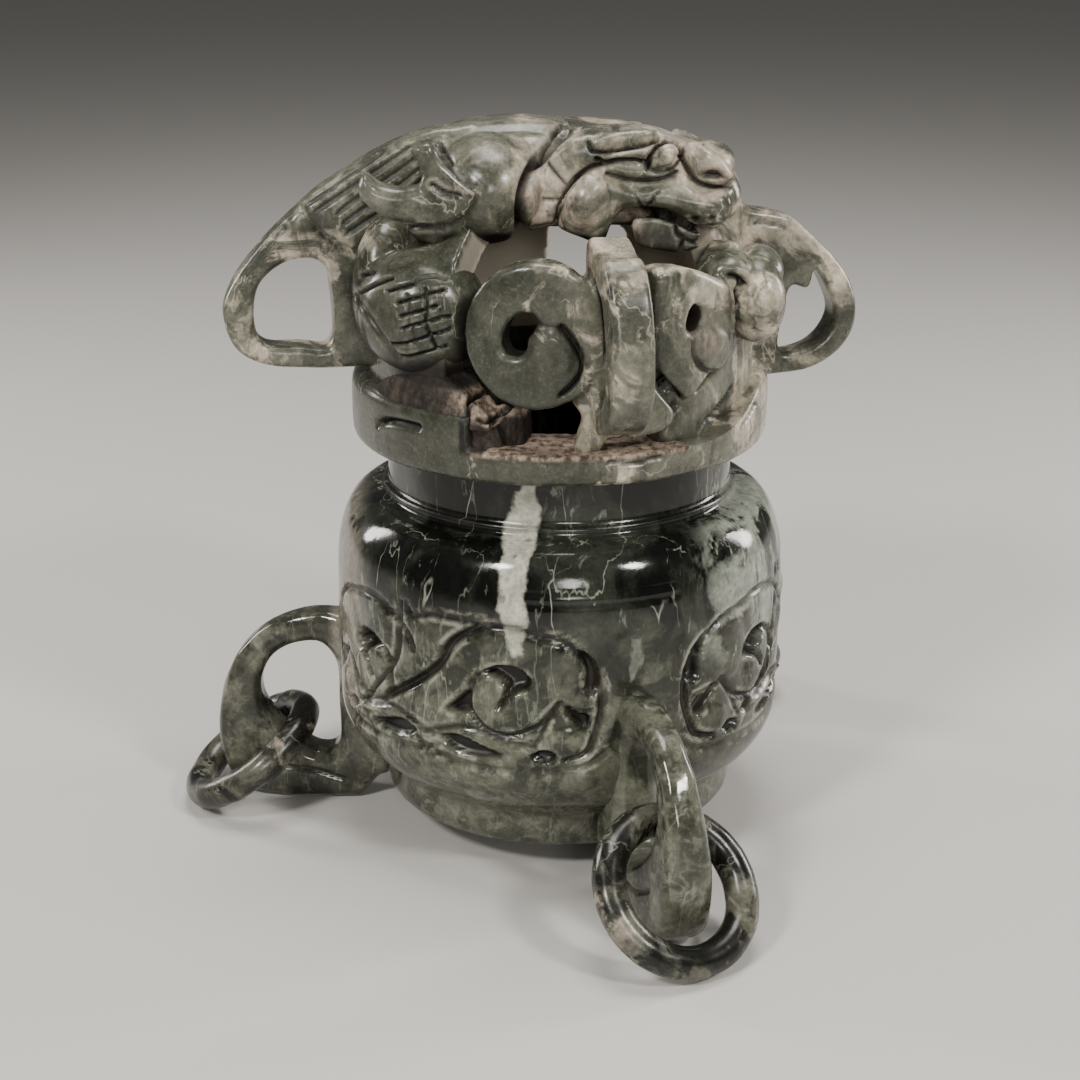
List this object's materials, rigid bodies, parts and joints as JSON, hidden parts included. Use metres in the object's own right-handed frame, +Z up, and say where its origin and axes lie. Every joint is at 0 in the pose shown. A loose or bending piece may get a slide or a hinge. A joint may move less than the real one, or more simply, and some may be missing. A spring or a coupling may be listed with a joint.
{
  "type": "tripod incense burner",
  "caption": "Carved jade tripod censer: bowl on three leg loops with loose linked rings, and a lift-off pierced dragon lid.",
  "frame": {"origin": "centre of the flat underside of the bowl's foot; the three leg loops reach 8 mm below it", "axes": "+Z up along the axis of the bowl; -Y is the front, where the dragon's head shows at the right"},
  "size_m": [0.1843, 0.1977, 0.1895],
  "materials": {
    "jade_dark": "polished",
    "jade_pale": "polished",
    "jade_grey": "polished"
  },
  "bodies": {
    "censer": {"censer_body": "jade_dark"},
    "lid": {"dragon_lid": "jade_pale"},
    "left_ring": {"ring_left": "jade_grey"},
    "front_ring": {"ring_front": "jade_grey"},
    "rear_ring": {"ring_rear": "jade_grey"}
  },
  "joints": [
    {"name": "lid_lift", "type": "slide", "parent": "censer", "child": "lid", "axis": [0, 0, 1], "range_m": [0, 0.08]},
    {"name": "left_ring_swing", "type": "hinge", "parent": "censer", "child": "left_ring", "pos_m": [-0.07112, -0.00012, 0.0167], "axis": [-0.1045, 0.9945, 0], "range_deg": [-42, 125]},
    {"name": "front_ring_swing", "type": "hinge", "parent": "censer", "child": "front_ring", "pos_m": [0.02051, -0.07491, 0.02209], "axis": [-0.829, -0.5592, 0], "range_deg": [-20, 145]},
    {"name": "rear_ring_swing", "type": "hinge", "parent": "censer", "child": "rear_ring", "pos_m": [0.04315, 0.06397, 0.02181], "axis": [0.829, -0.5592, 0], "range_deg": [-44, 150]}
  ]
}
